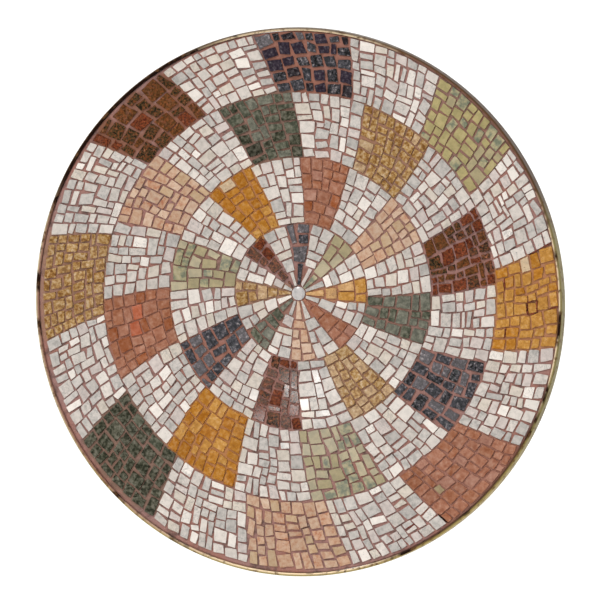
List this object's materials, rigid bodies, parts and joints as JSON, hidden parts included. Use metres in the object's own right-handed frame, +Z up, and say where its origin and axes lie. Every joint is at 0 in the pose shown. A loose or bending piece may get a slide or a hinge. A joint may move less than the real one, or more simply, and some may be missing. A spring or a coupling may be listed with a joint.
{
  "type": "mosaic panel",
  "caption": "Round wall panel of polished marble mosaic: rings of leaning coloured and white fields about a small middle stone, set in mortar inside a thin brass band.",
  "frame": {"origin": "centre of the panel's flat back, which lies against the wall", "axes": "+Y into the wall, the mosaic faces -Y, +Z up, +X to the right as seen from the front"},
  "size_m": [0.6, 0.014, 0.6],
  "materials": {
    "brass": "polished, a little tarnished",
    "mortar": "ground flush, matt mauve-brown cement",
    "white_marble": "polished",
    "grey_marble": "polished",
    "navy_stone": "polished",
    "olive_stone": "polished",
    "yellow_stone": "polished",
    "terracotta_stone": "polished",
    "peach_stone": "polished",
    "green_stone": "polished",
    "ochre_stone": "polished",
    "red_brown_stone": "polished"
  },
  "bodies": {
    "root": {"edge_band": "brass", "mortar_slab": "mortar", "middle_stone": "grey_marble", "inner_ring_navy_stones": "navy_stone", "inner_ring_olive_stones": "olive_stone", "inner_ring_yellow_stones": "yellow_stone", "inner_ring_terracotta_stones": "terracotta_stone", "inner_ring_peach_stones": "peach_stone", "inner_ring_green_stones": "green_stone", "inner_ring_ochre_stones": "ochre_stone", "inner_ring_red_brown_stones": "red_brown_stone", "second_ring_navy_stones": "navy_stone", "second_ring_olive_stones": "olive_stone", "second_ring_yellow_stones": "yellow_stone", "second_ring_terracotta_stones": "terracotta_stone", "second_ring_peach_stones": "peach_stone", "second_ring_green_stones": "green_stone", "second_ring_ochre_stones": "ochre_stone", "second_ring_red_brown_stones": "red_brown_stone", "third_ring_navy_stones": "navy_stone", "third_ring_olive_stones": "olive_stone", "third_ring_yellow_stones": "yellow_stone", "third_ring_terracotta_stones": "terracotta_stone", "third_ring_peach_stones": "peach_stone", "third_ring_green_stones": "green_stone", "third_ring_ochre_stones": "ochre_stone", "third_ring_red_brown_stones": "red_brown_stone", "outer_ring_navy_stones": "navy_stone", "outer_ring_olive_stones": "olive_stone", "outer_ring_yellow_stones": "yellow_stone", "outer_ring_terracotta_stones": "terracotta_stone", "outer_ring_peach_stones": "peach_stone", "outer_ring_green_stones": "green_stone", "outer_ring_ochre_stones": "ochre_stone", "outer_ring_red_brown_stones": "red_brown_stone", "inner_rings_white_stones_1": "white_marble", "inner_rings_white_stones_2": "white_marble", "inner_rings_white_stones_3": "white_marble", "inner_rings_white_stones_4": "white_marble", "inner_rings_white_stones_5": "white_marble", "inner_rings_white_stones_6": "white_marble", "inner_rings_white_stones_7": "white_marble", "inner_rings_white_stones_8": "white_marble", "third_ring_white_stones_1": "white_marble", "third_ring_white_stones_2": "white_marble", "third_ring_white_stones_3": "white_marble", "third_ring_white_stones_4": "white_marble", "third_ring_white_stones_5": "white_marble", "third_ring_white_stones_6": "white_marble", "third_ring_white_stones_7": "white_marble", "third_ring_white_stones_8": "white_marble", "outer_ring_white_stones_1": "white_marble", "outer_ring_white_stones_2": "white_marble", "outer_ring_white_stones_3": "white_marble", "outer_ring_white_stones_4": "white_marble", "outer_ring_white_stones_5": "white_marble", "outer_ring_white_stones_6": "white_marble", "outer_ring_white_stones_7": "white_marble", "outer_ring_white_stones_8": "white_marble"}
  },
  "joints": []
}
